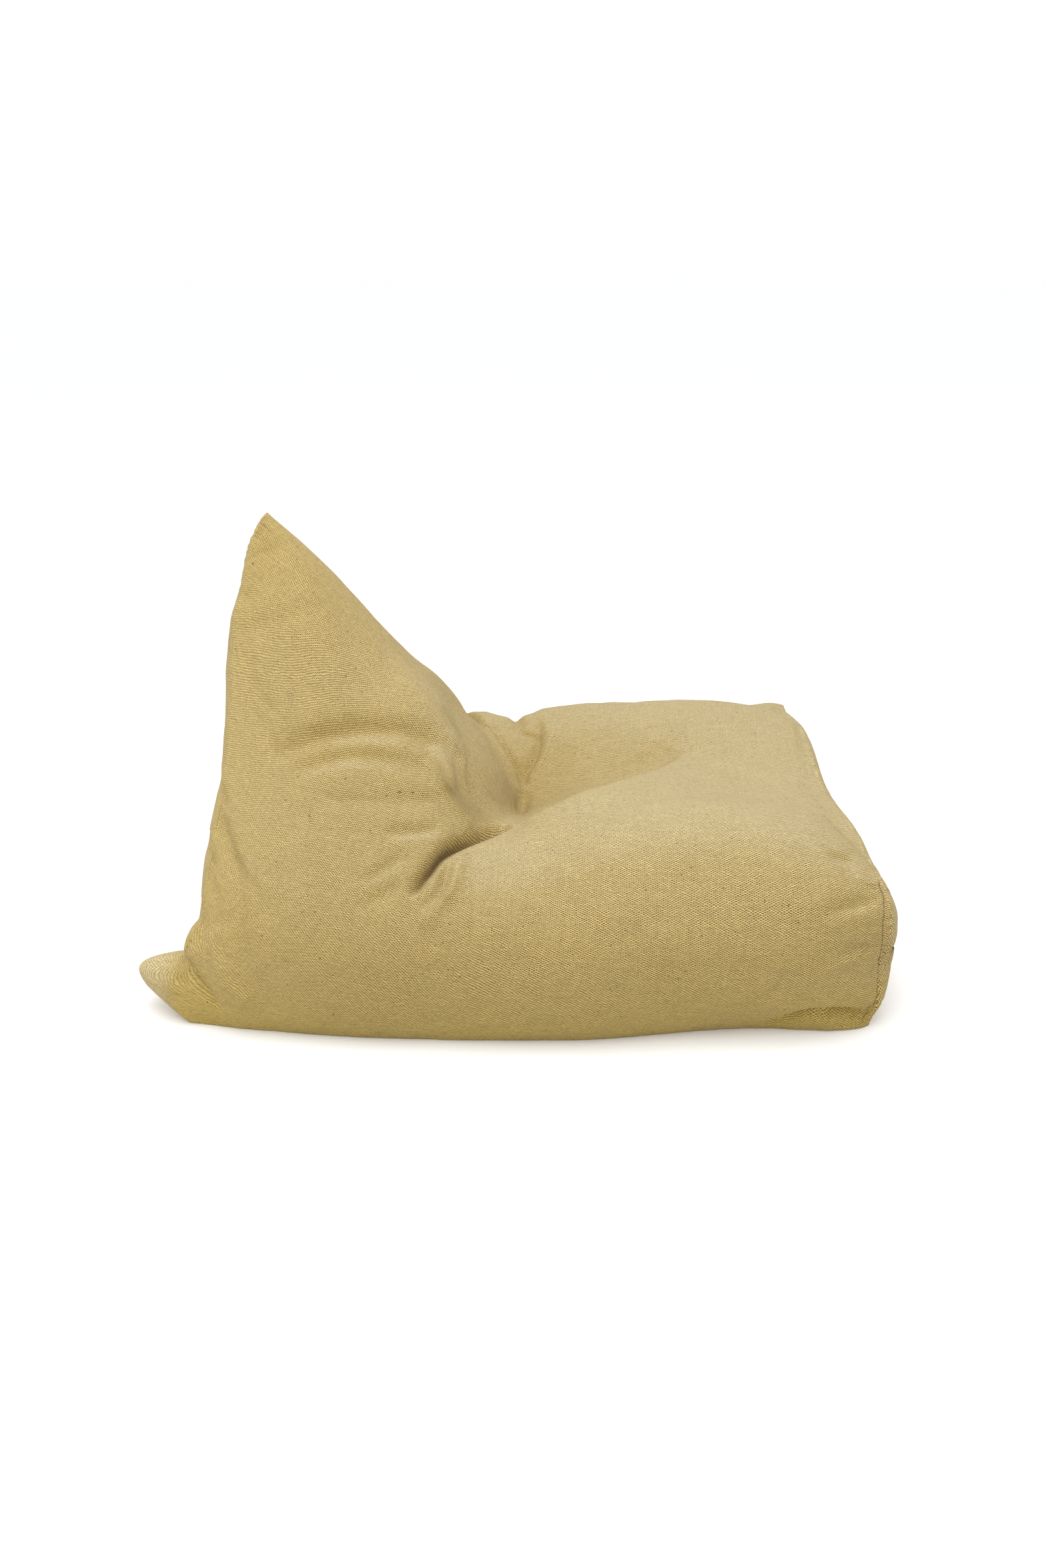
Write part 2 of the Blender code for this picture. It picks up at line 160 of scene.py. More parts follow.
# The folds. "left" and "right" say how far one reaches to each side of its line, "lip"
# how much its edges lift and "edge" how sharp it is, and a "start" of 0.5 lets it begin
# at full depth. A point of two numbers was traced in the photograph's pixels and
# is followed from the camera to the skin. One of three, out of sight there, is in metres.
FOLD_COLUMNS = ("name", "depth", "left", "right", "lip", "edge", "start", "line")
FOLDS = (
    ("near crease, the back's side rolls in under the seat's lip",
     0.027, 0.0105, 0.0075, 0.15, 1.5, 0.0,
     ((612, 1342), (620, 1337), (629, 1324), (640, 1309), (653, 1293), (670, 1277), (690, 1266),
      (710, 1258), (731, 1251), (752, 1246), (764, 1244))),
    ("second trough in the curled lip",
     0.009, 0.009, 0.01, 0.3, 2.0, 0.0,
     ((680, 1283), (675, 1294), (670, 1306), (665, 1324), (657, 1341), (646, 1353), (633, 1367))),
    ("ridge below the curled lip",
     -0.009, 0.011, 0.015, 0.1, 2.0, 0.0,
     ((690, 1290), (685, 1304), (681, 1324), (670, 1344), (656, 1362), (643, 1379), (632, 1391))),
    ("near edge of the back, down to the crease",
     -0.007, 0.012, 0.028, 0.2, 1.6, 0.0,
     ((630, 1046), (650, 1074), (668, 1098), (686, 1122), (692, 1140), (692, 1160), (694, 1180),
      (702, 1200), (715, 1216), (736, 1231), (758, 1242), (775, 1246))),
    ("fullness of the side before that edge",
     -0.011, 0.015, 0.018, 0.0, 2.0, 0.0,
     ((652, 1115), (665, 1145), (672, 1180), (686, 1212), (708, 1240))),
    ("hollow inside that edge",
     0.009, 0.03, 0.009, 0.1, 2.0, 0.0,
     ((665, 1066), (684, 1092), (697, 1112), (702, 1135), (703, 1160), (706, 1185), (718, 1205),
      (735, 1218))),
    ("soft edge inside the far crease",
     -0.006, 0.008, 0.016, 0.2, 2.0, 0.0,
     ((716, 1078), (732, 1098), (748, 1122), (762, 1148), (772, 1172), (780, 1190))),
    ("far crease, left arm",
     0.011, 0.01, 0.009, 0.2, 1.7, 0.0,
     ((738, 1090), (750, 1112), (762, 1132), (774, 1152), (782, 1166), (788, 1180))),
    ("far crease, right arm",
     0.01, 0.007, 0.012, 0.2, 1.7, 0.0,
     ((806, 1078), (808, 1095), (807, 1115), (804, 1130), (797, 1146), (790, 1160), (786, 1176))),
    ("thin edge right of the far crease",
     -0.004, 0.007, 0.008, 0.0, 2.0, 0.0,
     ((820, 1072), (822, 1090), (823, 1108), (820, 1126), (814, 1142), (804, 1158))),
    ("deepest dimple of the sit",
     0.008, 0.016, 0.012, 0.2, 2.0, 0.0,
     ((778, 1222), (781, 1212), (785, 1200), (788, 1188))),
    ("soft patch beside the far crease",
     0.004, 0.024, 0.024, 0.1, 2.0, 0.0,
     ((812, 1170), (828, 1152), (845, 1132), (855, 1118))),
    ("lens fold on the far rim",
     0.006, 0.01, 0.014, 0.3, 2.0, 0.0,
     ((772, 1090), (785, 1100), (800, 1105), (812, 1104))),
    ("tuck over the far rim",
     0.012, 0.014, 0.012, 0.3, 1.7, 0.0,
     ((-0.026, 0.445, 0.15), (-0.024, 0.42, 0.185), (-0.02, 0.38, 0.195), (-0.012, 0.335, 0.195),
      (0.002, 0.3, 0.195))),
    ("crest along the near side of the sit",
     -0.013, 0.03, 0.06, 0.1, 2.0, 0.0,
     ((-0.02, -0.215, 0.24), (0.04, -0.195, 0.25), (0.095, -0.155, 0.255), (0.14, -0.11, 0.25),
      (0.19, -0.044, 0.245), (0.26, 0.06, 0.24), (0.31, 0.12, 0.24))),
    ("trough behind the crest",
     0.014, 0.05, 0.024, 0.1, 2.0, 0.0,
     ((0.0, -0.15, 0.225), (0.06, -0.12, 0.24), (0.11, -0.065, 0.225), (0.16, 0.0, 0.21),
      (0.22, 0.07, 0.215), (0.29, 0.135, 0.232))),
    ("first soft valley on the seat",
     0.0035, 0.018, 0.014, 0.4, 2.0, 0.0,
     ((925, 1160), (945, 1147), (965, 1136), (985, 1125), (1005, 1113), (1028, 1103))),
    ("second soft valley on the seat",
     0.0025, 0.014, 0.014, 0.4, 2.0, 0.0,
     ((905, 1168), (925, 1163), (945, 1155), (965, 1144), (985, 1133), (1005, 1124))),
    ("upper arch on the back's side",
     0.015, 0.02, 0.026, 0.2, 1.8, 0.0,
     ((405, 1134), (430, 1125), (460, 1113), (500, 1101), (540, 1094), (580, 1094), (620, 1099),
      (650, 1113), (676, 1130))),
    ("lower arch on the back's side",
     0.01, 0.016, 0.02, 0.3, 2.0, 0.0,
     ((430, 1161), (460, 1150), (490, 1140), (530, 1133), (560, 1135), (600, 1142), (640, 1151))),
    ("third arch on the back's side",
     0.0042, 0.014, 0.018, 0.4, 2.0, 0.0,
     ((470, 1200), (500, 1200), (560, 1201), (620, 1200), (660, 1196), (690, 1188))),
    ("short fold above the crease",
     0.006, 0.012, 0.012, 0.4, 2.0, 0.0,
     ((575, 1252), (600, 1248), (630, 1246), (660, 1240))),
    ("pleat running left from the crease",
     0.006, 0.013, 0.013, 0.4, 2.0, 0.0,
     ((612, 1280), (593, 1291), (568, 1309), (540, 1325))),
    ("pleat running down-left from the crease",
     0.006, 0.014, 0.014, 0.4, 2.0, 0.0,
     ((600, 1322), (580, 1338), (560, 1352), (535, 1370))),
    ("first fold near the tip",
     0.003, 0.016, 0.016, 0.3, 2.0, 0.0,
     ((375, 945), (400, 938), (425, 928), (450, 918), (496, 901))),
    ("edge beside that fold",
     -0.002, 0.014, 0.014, 0.1, 2.0, 0.0,
     ((-0.435, -0.095, 0.54), (-0.415, -0.085, 0.556), (-0.395, -0.065, 0.59))),
    ("tuck on the back's edge near the tip",
     0.003, 0.014, 0.014, 0.2, 2.0, 0.0,
     ((-0.46, -0.05, 0.575), (-0.436, -0.07, 0.577), (-0.418, -0.066, 0.587))),
    ("second fold near the tip",
     0.0022, 0.014, 0.014, 0.3, 2.0, 0.0,
     ((-0.44, -0.03, 0.632), (389, 832), (410, 826), (435, 814))),
    ("fold under the roll at the front corner",
     0.02, 0.009, 0.017, 0.35, 1.7, 0.0,
     ((1150, 1538), (1178, 1531), (1205, 1523), (1234, 1519), (1263, 1518), (1291, 1523),
      (1313, 1514))),
    ("level fold to the middle of the corner seam",
     0.004, 0.008, 0.01, 0.6, 1.7, 0.0,
     ((1252, 1447), (1264, 1430), (1289, 1420), (1310, 1418), (1322, 1418))),
    ("fold down from the corner's top",
     0.007, 0.018, 0.012, 0.4, 2.0, 0.0,
     ((1227, 1377), (1254, 1366), (1280, 1358), (1300, 1353), (1317, 1348))),
    ("soft diagonal low on the front of the side",
     0.004, 0.016, 0.016, 0.4, 2.0, 0.0,
     ((1145, 1505), (1157, 1494), (1169, 1480))),
    ("light edge under the level fold",
     -0.003, 0.01, 0.014, 0.3, 2.0, 0.0,
     ((1223, 1467), (1240, 1455), (1256, 1445), (1280, 1437), (1312, 1428))),
    ("pucker at the corner's top",
     -0.005, 0.009, 0.009, 0.6, 2.0, 0.0,
     ((1285, 1315), (1305, 1324), (1322, 1333))),
    ("dent behind the corner's top",
     0.005, 0.012, 0.012, 0.2, 2.0, 0.0,
     ((1240, 1283), (1260, 1288), (1278, 1290))),
    ("shaded valley above the ear",
     0.007, 0.016, 0.028, 0.4, 2.0, 0.0,
     ((325, 1222), (342, 1280), (356, 1340), (362, 1400), (366, 1450), (376, 1495))),
    ("light edge above the ear",
     -0.006, 0.014, 0.018, 0.1, 2.0, 0.0,
     ((302, 1392), (318, 1430), (334, 1462), (352, 1490), (372, 1505))),
    ("root of the near ear",
     0.009, 0.008, 0.01, 0.3, 1.8, 0.0,
     ((276, 1426), (283, 1445), (294, 1462), (306, 1480), (318, 1500), (330, 1518))),
    ("crease from the ear's root along the foot",
     0.005, 0.01, 0.012, 0.3, 2.0, 0.0,
     ((272, 1440), (270, 1458), (273, 1478), (278, 1500))),
    ("fine fold on the ear",
     0.005, 0.006, 0.006, 0.3, 2.0, 0.0,
     ((240, 1444), (238, 1456), (236, 1470), (234, 1484))),
    ("upper tuck of the back's edge",
     0.007, 0.012, 0.02, 0.5, 2.0, 0.5,
     ((-0.487, -0.19, 0.33), (331, 1199), (326, 1218), (336, 1255), (354, 1296), (391, 1348),
      (420, 1380))),
    ("middle tuck of the back's edge",
     0.007, 0.012, 0.018, 0.5, 2.0, 0.5,
     ((-0.495, -0.25, 0.25), (314, 1290), (312, 1306), (317, 1330), (326, 1365))),
    ("lower tuck of the back's edge",
     0.007, 0.012, 0.018, 0.5, 2.0, 0.5,
     ((-0.505, -0.31, 0.165), (299, 1385), (300, 1400), (310, 1424), (326, 1452))),
    ("far side crease",
     0.022, 0.009, 0.022, 0.3, 1.6, 0.0,
     ((-0.19, 0.425, 0.18), (-0.15, 0.4, 0.205), (-0.11, 0.365, 0.228), (-0.075, 0.31, 0.236),
      (-0.05, 0.27, 0.225))),
    ("arch on the back's far side",
     0.011, 0.02, 0.019, 0.4, 2.0, 0.0,
     ((-0.37, 0.24, 0.36), (-0.31, 0.215, 0.385), (-0.25, 0.2, 0.385), (-0.19, 0.18, 0.375),
      (-0.14, 0.16, 0.35))),
    ("lower arch on the back's far side",
     0.006, 0.018, 0.018, 0.4, 2.0, 0.0,
     ((-0.35, 0.285, 0.31), (-0.29, 0.275, 0.32), (-0.23, 0.265, 0.315), (-0.17, 0.25, 0.3))),
    ("fold near the tip on the far side",
     0.003, 0.016, 0.016, 0.3, 2.0, 0.0,
     ((-0.43, 0.085, 0.545), (-0.385, 0.085, 0.56), (-0.335, 0.07, 0.57))),
    ("root of the far ear",
     0.01, 0.012, 0.01, 0.3, 1.8, 0.0,
     ((-0.528, 0.31, 0.11), (-0.519, 0.366, 0.085), (-0.51, 0.386, 0.07), (-0.498, 0.4, 0.048),
      (-0.485, 0.412, 0.02))),
    ("valley above the far ear",
     0.007, 0.026, 0.016, 0.4, 2.0, 0.0,
     ((-0.47, 0.265, 0.29), (-0.44, 0.33, 0.235), (-0.415, 0.385, 0.18), (-0.408, 0.415, 0.12))),
    ("fold across the back",
     0.008, 0.02, 0.018, 0.4, 2.0, 0.0,
     ((-0.49, -0.18, 0.3), (-0.51, -0.09, 0.275), (-0.515, 0.01, 0.282), (-0.505, 0.11, 0.305))),
    ("lower fold across the back",
     0.006, 0.02, 0.018, 0.4, 2.0, 0.0,
     ((-0.515, 0.25, 0.16), (-0.53, 0.14, 0.15), (-0.535, 0.02, 0.165), (-0.53, -0.1, 0.185))),
    ("fold down to the back's far ear",
     0.007, 0.018, 0.018, 0.4, 2.0, 0.0,
     ((-0.5, 0.2, 0.23), (-0.515, 0.26, 0.15), (-0.53, 0.3, 0.085))),
    ("fold down to the back's near ear",
     0.007, 0.018, 0.018, 0.4, 2.0, 0.0,
     ((-0.505, -0.21, 0.2), (-0.52, -0.265, 0.13), (-0.53, -0.3, 0.075))),
    ("level fold on the far side of the front",
     0.005, 0.012, 0.01, 0.4, 1.8, 0.0,
     ((0.535, 0.392, 0.138), (0.5, 0.407, 0.145), (0.465, 0.421, 0.14), (0.43, 0.436, 0.12))),
    ("low fold on the far side",
     0.008, 0.018, 0.014, 0.4, 2.0, 0.0,
     ((0.3, 0.44, 0.06), (0.2, 0.448, 0.052), (0.1, 0.452, 0.06))),
    ("pleat on the near side of the front",
     0.005, 0.012, 0.012, 0.4, 2.0, 0.0,
     ((0.548, -0.34, 0.15), (0.556, -0.28, 0.152), (0.56, -0.21, 0.14))),
    ("pleat on the far side of the front",
     0.005, 0.012, 0.012, 0.4, 2.0, 0.0,
     ((0.548, 0.35, 0.07), (0.556, 0.29, 0.072), (0.56, 0.21, 0.085))),
)
FOLD_STEPS = 49
FOLD_REACH = 4.5
FOLD_ENDS = 0.6
# How the folds' depth is kept for painted shade: NARROW_FOLD and DEEP_CREASE for the dark creases,
# NOOK_WIDTH for the golden hollows.
NARROW_FOLD = 0.011
NOOK_WIDTH = 1.9
DEEP_CREASE = 0.028
LINE_MARGIN = 0.03
LEAST_FACING = 0.2

# The threads' run: where the wefts turn up on the back, how steeply they rise there,
# and how much closer they lie.
WEFT_TURN = (-0.04, -0.15)
WEFT_RISE = (math.radians(33.0), math.radians(42.0))
WEFT_RISE_HEIGHTS = {"from": 0.05, "run": 0.40}
THREAD_PASSES = 120
THREAD_ROUNDS = 5
BACK_TIGHTER = 0.22
BACK_TIGHTER_RUN = 0.3
BACK_EDGE_ROWS = 6

# The seams, drawn in with small puckers beside them, and the unevenness over the fill.
SEAM_DEPTH = 0.0032
SEAM_WIDTH = 0.0045
SEAM_REACH = 0.04
PUCKER_DEPTH = 0.0009
PUCKER_SHARE = 0.35
PUCKER_PITCH = 0.017
PUCKER_DRIFT = {"by": 2.0, "turn": 90.0, "across": 1.5}
SEAMS = (
    {"name": "near corner",
     "line": ((1320, 1324), (1326, 1340), (1325, 1378), (1323, 1420), (1321, 1464), (1318, 1490),
              (1311, 1509), (1298, 1527))},
    {"name": "far corner",
     "line": ((0.527, 0.35, 0.222), (0.531, 0.363, 0.211), (0.528, 0.384, 0.181),
              (0.529, 0.393, 0.138), (0.532, 0.397, 0.089), (0.533, 0.399, 0.06),
              (0.53, 0.402, 0.03), (0.528, 0.4, 0.01))},
    {"name": "level seam across the front",
     "line": ((0.531, -0.394, 0.118), (0.55, -0.35, 0.112), (0.56, -0.2, 0.112),
              (0.561, 0.0, 0.112), (0.56, 0.2, 0.112), (0.55, 0.35, 0.112), (0.531, 0.394, 0.118))},
    {"name": "upright seam on the back",
     "line": ((-0.412, 0.0, 0.68), (-0.43, 0.0, 0.64), (-0.47, 0.0, 0.5), (-0.5, 0.0, 0.35),
              (-0.522, 0.0, 0.2), (-0.53, 0.0, 0.06))},
    {"name": "foot seam of the back, ear to ear",
     "line": ((-0.58, -0.345, 0.055), (-0.545, -0.32, 0.045), (-0.53, -0.2, 0.04),
              (-0.532, 0.0, 0.04), (-0.53, 0.2, 0.04), (-0.545, 0.32, 0.045),
              (-0.58, 0.345, 0.05))},
)
RIPPLES = (
    {"scale": 16.0, "height": 0.0011},
    {"scale": 45.0, "height": 0.0004},
)

# The fill's push: a short cloth simulation that moves no point further than FILL_CAP.
FILL_FRAMES = 20
FILL_PRESSURE = 4.0
FILL_CAP = 0.003
FLOOR_HELD = 0.002
THICK_COTTON = {
    "quality": 4,
    "mass": 0.3,
    "tension_stiffness": 15.0,
    "compression_stiffness": 15.0,
    "shear_stiffness": 5.0,
    "bending_stiffness": 2.0,
    "shrink_min": -0.010,
}


def spline(knots, values, wanted):
    """Natural cubic through values at knots, read at the wanted places."""
    count = len(knots)
    gaps = np.diff(knots)
    system = np.eye(count)
    target = np.zeros_like(values)
    slopes = np.diff(values, axis=0) / gaps[:, None]
    for i in range(1, count - 1):
        system[i, i - 1] = gaps[i - 1]
        system[i, i] = 2.0 * (gaps[i - 1] + gaps[i])
        system[i, i + 1] = gaps[i]
        target[i] = 6.0 * (slopes[i] - slopes[i - 1])
    bend = np.linalg.solve(system, target)
    span = np.clip(np.searchsorted(knots, wanted, side="right") - 1, 0, count - 2)
    gap = gaps[span][:, None]
    left = ((knots[span + 1] - wanted)[:, None]) / gap
    right = 1.0 - left
    curve = (left ** 3 - left) * bend[span] + (right ** 3 - right) * bend[span + 1]
    return left * values[span] + right * values[span + 1] + curve * gap ** 2 / 6.0


def section_points(row):
    """The ten points of one section, round from the floor's middle line."""
    s = dict(zip(SECTION_COLUMNS, row))
    near = (
        (s["floor_x"], -s["floor_y"], 0.0),
        (s["side_x"], -s["side_y"], s["side_z"]),
        (s["mid_x"], -s["mid_y"] + 0.4 * s["lean"], s["mid_z"]),
        (s["ridge_x"], -s["ridge_y"] + s["lean"], s["ridge_z"] + s["tilt"]),
    )
    far = (
        (s["ridge_x"], s["ridge_y"] + s["lean"], s["ridge_z"] - s["tilt"]),
        (s["mid_x"], s["mid_y"] + 0.4 * s["lean"], s["mid_z"] - s["tilt"]),
        (s["side_x"], s["side_y"], s["side_z"]),
        (s["floor_x"], s["floor_y"], 0.0),
    )
    crown = (s["crown_x"], s["lean"], s["crown_z"])
    return np.array(((s["floor_x"], 0.0, 0.0),) + near + (crown,) + far)


def lengthwise(rows):
    """More sections between the table's, smooth along the sack."""
    points = np.array([section_points(row) for row in rows])
    strides = np.linalg.norm(np.diff(points, axis=0), axis=2).mean(axis=1)
    knots = np.concatenate(((0.0,), np.cumsum(strides)))
    places = np.linspace(0.0, knots[-1], round(knots[-1] / GRID_STEP) + 1)
    flat = points.reshape(len(rows), -1)
    return spline(knots, flat, places).reshape(len(places), -1, 3)


def steps_round(points):
    """How many grid steps each of the ten gaps of a section gets."""
    gaps = np.linalg.norm(np.roll(points, -1, axis=1) - points, axis=2).max(axis=0)
    steps = np.ceil(gaps / GRID_STEP).astype(int)
    steps[[0, -1]] = round(gaps[0] / FLOOR_STEP)
    half = np.maximum(steps[:5], steps[::-1][:5])
    return np.concatenate((half, half[::-1]))


def round_ring(points, steps):
    """A smooth closed ring through the ten points of a section."""
    wrapped = np.concatenate((points[-4:], points, points[:5]))
    strides = np.linalg.norm(np.diff(wrapped, axis=0), axis=1) ** 0.75
    knots = np.concatenate(((0.0,), np.cumsum(strides)))
    places = [
        knots[4 + i] + strides[4 + i] * k / steps[i]
        for i in range(len(points))
        for k in range(steps[i])
    ]
    return spline(knots, wrapped, np.array(places))


def front_rings(ring, corner):
    """The boxed front end: rings from the corner seams in to the level seam."""
    cornered = np.clip((np.abs(ring[:, 1]) - CORNER["from"]) / CORNER["run"], 0.0, 1.0)
    goal_y = ring[:, 1] * (1.0 - CORNER["draw"] * cornered)
    low = np.concatenate((goal_y[-corner:], goal_y[:corner + 1]))
    last_y = low[np.abs(goal_y[:, None] - low).argmin(axis=1)]
    power = FRONT_ROUND - CORNER["sharper"] * cornered
    outward = np.clip(np.abs(goal_y) / FRONT_FLATTER["half_width"], 0.0, 1.0)
    swell = FRONT_SWELL - FRONT_FLATTER["by"] * outward ** FRONT_FLATTER["power"]
    rings = []
    for i in range(1, END_STEPS["front"] + 1):
        left = math.cos(0.5 * math.pi * i / END_STEPS["front"])
        shape = (1.0 - left ** power) ** (1.0 / power)
        rings.append(np.stack((
            ring[:, 0] + swell * shape,
            goal_y + (ring[:, 1] - goal_y) * left,
            FRONT_SEAM_Z + (ring[:, 2] - FRONT_SEAM_Z) * left,
        ), axis=1))
    rings[-1][:, 0] = rings[-1][0, 0]
    rings[-1][:, 1] = last_y
    rings[-1][:, 2] = FRONT_SEAM_Z
    return rings


def back_rings(ring):
    """The back: rings from its edges in to the upright seam on its middle."""
    twin = np.roll(ring[::-1], 1, axis=0)
    middle = 0.5 * (ring + twin)
    width = np.clip(np.abs(ring[:, 1] - middle[:, 1]) / BACK_NARROW["half_width"], 0.0, 1.0)
    swell = BACK_SWELL * width ** BACK_NARROW["power"]
    rings = []
    for i in range(1, END_STEPS["back"] + 1):
        left = math.cos(0.5 * math.pi * i / END_STEPS["back"])
        points = middle + (ring - middle) * left
        points[:, 0] -= swell * (1.0 - left ** 2) ** 0.5
        rings.append(points)
    rings[-1] = middle.copy()
    rings[-1][:, 0] -= swell
    return rings


def along(points):
    """Distance run along a line of points, from its start."""
    return np.concatenate(((0.0,), np.cumsum(np.linalg.norm(np.diff(points, axis=0), axis=1))))


def headings(grid, back):
    """Which way the wefts run over a grid of points and which way the warps do.

    The wefts run level along the seat, rise on the back, and turn in behind it
    from both sides to the upright seam.
    """
    normals = np.cross(np.gradient(grid, axis=1), np.gradient(grid, axis=0))
    normals /= np.maximum(np.linalg.norm(normals, axis=2), 1e-12)[:, :, None]
    turned = np.clip((WEFT_TURN[0] - grid[:, :, 0]) / (WEFT_TURN[0] - WEFT_TURN[1]), 0.0, 1.0)
    above = grid[:, :, 2] - WEFT_RISE_HEIGHTS["from"]
    high = np.clip(above / WEFT_RISE_HEIGHTS["run"], 0.0, 1.0)
    steepness = WEFT_RISE[0] + (WEFT_RISE[1] - WEFT_RISE[0]) * high
    rise = turned ** 2 * (3.0 - 2.0 * turned) * steepness
    behind = np.maximum(-normals[:, :, 0], 0.0) ** 2
    behind[:back] = 0.0
    inward = np.where(np.arange(grid.shape[1]) < grid.shape[1] // 2, 1.0, -1.0)
    wefts = np.stack((behind - 1.0, behind * inward, np.tan(rise)), axis=2)
    wefts -= (wefts * normals).sum(axis=2)[:, :, None] * normals
    wefts /= np.maximum(np.linalg.norm(wefts, axis=2), 1e-12)[:, :, None]
    return wefts, np.cross(wefts, normals)


def followed(grid, heading, values):
    """Numbers over a grid that rise, as nearly as can be, by the distance run
    along the heading. It betters the first values by conjugate gradients."""
    down = np.diff(grid, axis=0)
    across = np.diff(grid, axis=1)
    pull_down = 1.0 / np.maximum((down ** 2).sum(axis=2), 0.002 ** 2)
    pull_across = 1.0 / np.maximum((across ** 2).sum(axis=2), 0.002 ** 2)
    rise_down = (0.5 * (heading[1:] + heading[:-1]) * down).sum(axis=2)
    rise_across = (0.5 * (heading[:, 1:] + heading[:, :-1]) * across).sum(axis=2)

    def gathered(by_down, by_across, before=-1.0):
        total = np.zeros(grid.shape[:2])
        total[1:] += by_down
        total[:-1] += before * by_down
        total[:, 1:] += by_across
        total[:, :-1] += before * by_across
        return total

    def pulled(numbers):
        by_down = pull_down * np.diff(numbers, axis=0)
        by_across = pull_across * np.diff(numbers, axis=1)
        return gathered(by_down, by_across)

    weight = gathered(pull_down, pull_across, 1.0)
    rest = gathered(pull_down * rise_down, pull_across * rise_across) - pulled(values)
    step = rest / weight
    size = (rest * step).sum()
    for _ in range(THREAD_PASSES):
        reply = pulled(step)
        share = size / (step * reply).sum()
        values = values + share * step
        rest = rest - share * reply
        grown = (rest * rest / weight).sum()
        step = rest / weight + grown / size * step
        size = grown
    return values


def unit_pitch(grid, values):
    """The way in which numbers over a grid grow fastest, as unit vectors."""
    down = np.gradient(grid, axis=0)
    across = np.gradient(grid, axis=1)
    square_down = (down ** 2).sum(axis=2)
    square_across = (across ** 2).sum(axis=2)
    both = (down * across).sum(axis=2)
    area = np.maximum(square_down * square_across - both ** 2, 1e-14)
    rise_down = np.gradient(values, axis=0)
    rise_across = np.gradient(values, axis=1)
    by_down = (square_across * rise_down - both * rise_across) / area
    by_across = (square_down * rise_across - both * rise_down) / area
    ways = by_down[:, :, None] * down + by_across[:, :, None] * across
    return ways / np.maximum(np.linalg.norm(ways, axis=2), 1e-9)[:, :, None]


def wrapped_cloth(mesh, rings, first, side):
    """A grid of cloth wrapped round the sections, its edges and ends sewn shut.

    Its threads are kept as a map in metres: the first number grows along the
    wefts from the front to the back and the second from the near foot over the
    top to the far one.
    """
    size = len(rings)
    count = len(rings[0])
    closed = np.concatenate((rings, rings[:, :1]), axis=1)
    crown = count // 2
    run = np.array([along(ring) for ring in closed])
    run -= run[:, crown:crown + 1]
    length = along(closed[:, side])
    back = size - END_STEPS["back"]
    threads = np.zeros((size, count + 1, 2))
    threads[:, :, 0] = length[:, None]
    threads[:, :, 1] = run
    strides = np.linalg.norm(np.diff(closed[back - 1:], axis=0), axis=2)
    threads[back:, :, 0] = length[back - 1] + np.cumsum(strides, axis=0)
    threads[back:, :, 1] = run[back - 1]
    wefts, warps = headings(closed[first:], back - first - BACK_EDGE_ROWS)
    turned = np.clip((WEFT_TURN[0] - closed[first:, :, 0]) / BACK_TIGHTER_RUN, 0.0, 1.0)
    closeness = (1.0 + BACK_TIGHTER * turned)[:, :, None]
    for n, heading in enumerate((wefts, warps)):
        for _ in range(THREAD_ROUNDS):
            threads[first:, :, n] = followed(closed[first:], heading, threads[first:, :, n])
            heading = unit_pitch(closed[first:], threads[first:, :, n]) * closeness
        threads[first:, :, n] -= threads[first, crown, n]
    threads[first:, :, 0] += length[first]
    front = threads[:first + 1].copy()
    front[:, :, 0] = length[first] - (closed[first, crown, 2] - closed[:first + 1, :, 2])
    front[:, :, 1] = closed[:first + 1, :, 1]
    bmesh.ops.create_grid(mesh, x_segments=size - 1, y_segments=count, size=1.0)
    order = sorted(mesh.verts, key=lambda v: (round(v.co.x, 6), round(v.co.y, 6)))
    place = {}
    for n, vert in enumerate(order):
        place[vert] = (n // (count + 1), n % (count + 1))
        vert.co = closed[place[vert]]
    layer = mesh.loops.layers.uv.new("threads")
    for face in mesh.faces:
        on_front = max(place[v][0] for v in face.verts) <= first
        for loop in face.loops:
            loop[layer].uv = (front if on_front else threads)[place[loop.vert]]
    bmesh.ops.remove_doubles(mesh, verts=mesh.verts, dist=WELD)
    bmesh.ops.recalc_face_normals(mesh, faces=mesh.faces)


def pull_ears(mesh):
    """Draws the cloth out to each ear's tip, less far above it than below."""
    for ear in EARS:
        tip = Vector(ear["tip"])
        start = Vector(ear["from"])
        for vert in mesh.verts:
            offset = vert.co - start
            reach = ear["up"] if offset.z > 0.0 else ear["down"]
            away = (offset.x ** 2 + offset.y ** 2) / ear["down"] ** 2 + (offset.z / reach) ** 2
            if away < 1.0:
                vert.co += (tip - start) * (1.0 - away) ** 2


def nudge(mesh):
    """Moves the cloth softly near each place that the table names."""
    for row in NUDGES:
        spot = dict(zip(NUDGE_COLUMNS, row))
        centre = Vector(spot["at"])
        for vert in mesh.verts:
            away = (vert.co - centre).length_squared / spot["reach"] ** 2
            if away < 1.0:
                vert.co += Vector(spot["by"]) * (1.0 - away) ** 2


def ease(mesh, centre, reach, passes):
    """Smooths the cloth round one place."""
    close = [v for v in mesh.verts if (v.co - Vector(centre)).length < reach]
    for _ in range(passes):
        bmesh.ops.smooth_vert(
            mesh, verts=close, factor=0.5, use_axis_x=True, use_axis_y=True, use_axis_z=True,
        )


def read(mesh):
    """The places and the normals of a mesh's vertices."""
    places = np.zeros(len(mesh.vertices) * 3)
    normals = np.zeros(len(mesh.vertices) * 3, np.float32)
    mesh.vertices.foreach_get("co", places)
    mesh.vertex_normals.foreach_get("vector", normals)
    return places.reshape(-1, 3), normals.reshape(-1, 3).astype(float)


def write(mesh, places):
    """Puts a mesh's vertices at these places."""
    mesh.vertices.foreach_set("co", places.ravel())
    mesh.update()


